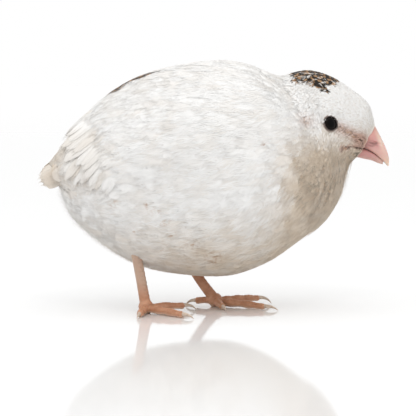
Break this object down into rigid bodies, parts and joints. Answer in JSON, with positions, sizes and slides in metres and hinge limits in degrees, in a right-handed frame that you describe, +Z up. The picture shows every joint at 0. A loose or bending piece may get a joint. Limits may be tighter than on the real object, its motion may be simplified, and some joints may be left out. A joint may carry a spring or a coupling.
{
  "type": "coturnix quail",
  "caption": "Life-size still model of a white domestic coturnix quail, standing with its head low and a folded wing on each side.",
  "frame": {"origin": "on the ground, under the middle of the bird's bounding box", "axes": "+X towards the bill, +Y to the bird's left, +Z up"},
  "size_m": [0.1306, 0.0732, 0.0926],
  "materials": {
    "white plumage": "soft white body feathers, shaded cream below, with a dark flecked crown patch",
    "flight feathers": "cream-white overlapping wing and tail feathers",
    "bill": "pink horn, paler at the tip, low sheen",
    "leg skin": "pinkish brown scaled skin",
    "claw horn": "pale translucent horn",
    "eye": "wet black eye"
  },
  "bodies": {
    "root": {"torso": "white plumage", "neck": "white plumage", "head": "white plumage", "bill_upper": "bill", "bill_lower": "bill", "eye_right": "eye", "eye_left": "eye", "wing_right": "flight feathers", "wing_left": "flight feathers", "tail": "flight feathers", "shank_right": "leg skin", "shank_left": "leg skin", "toe_right_hind": "leg skin", "toe_right_inner": "leg skin", "toe_right_middle": "leg skin", "toe_right_outer": "leg skin", "toe_left_hind": "leg skin", "toe_left_inner": "leg skin", "toe_left_middle": "leg skin", "toe_left_outer": "leg skin", "claw_right_hind": "claw horn", "claw_right_inner": "claw horn", "claw_right_middle": "claw horn", "claw_right_outer": "claw horn", "claw_left_hind": "claw horn", "claw_left_inner": "claw horn", "claw_left_middle": "claw horn", "claw_left_outer": "claw horn"}
  },
  "joints": []
}
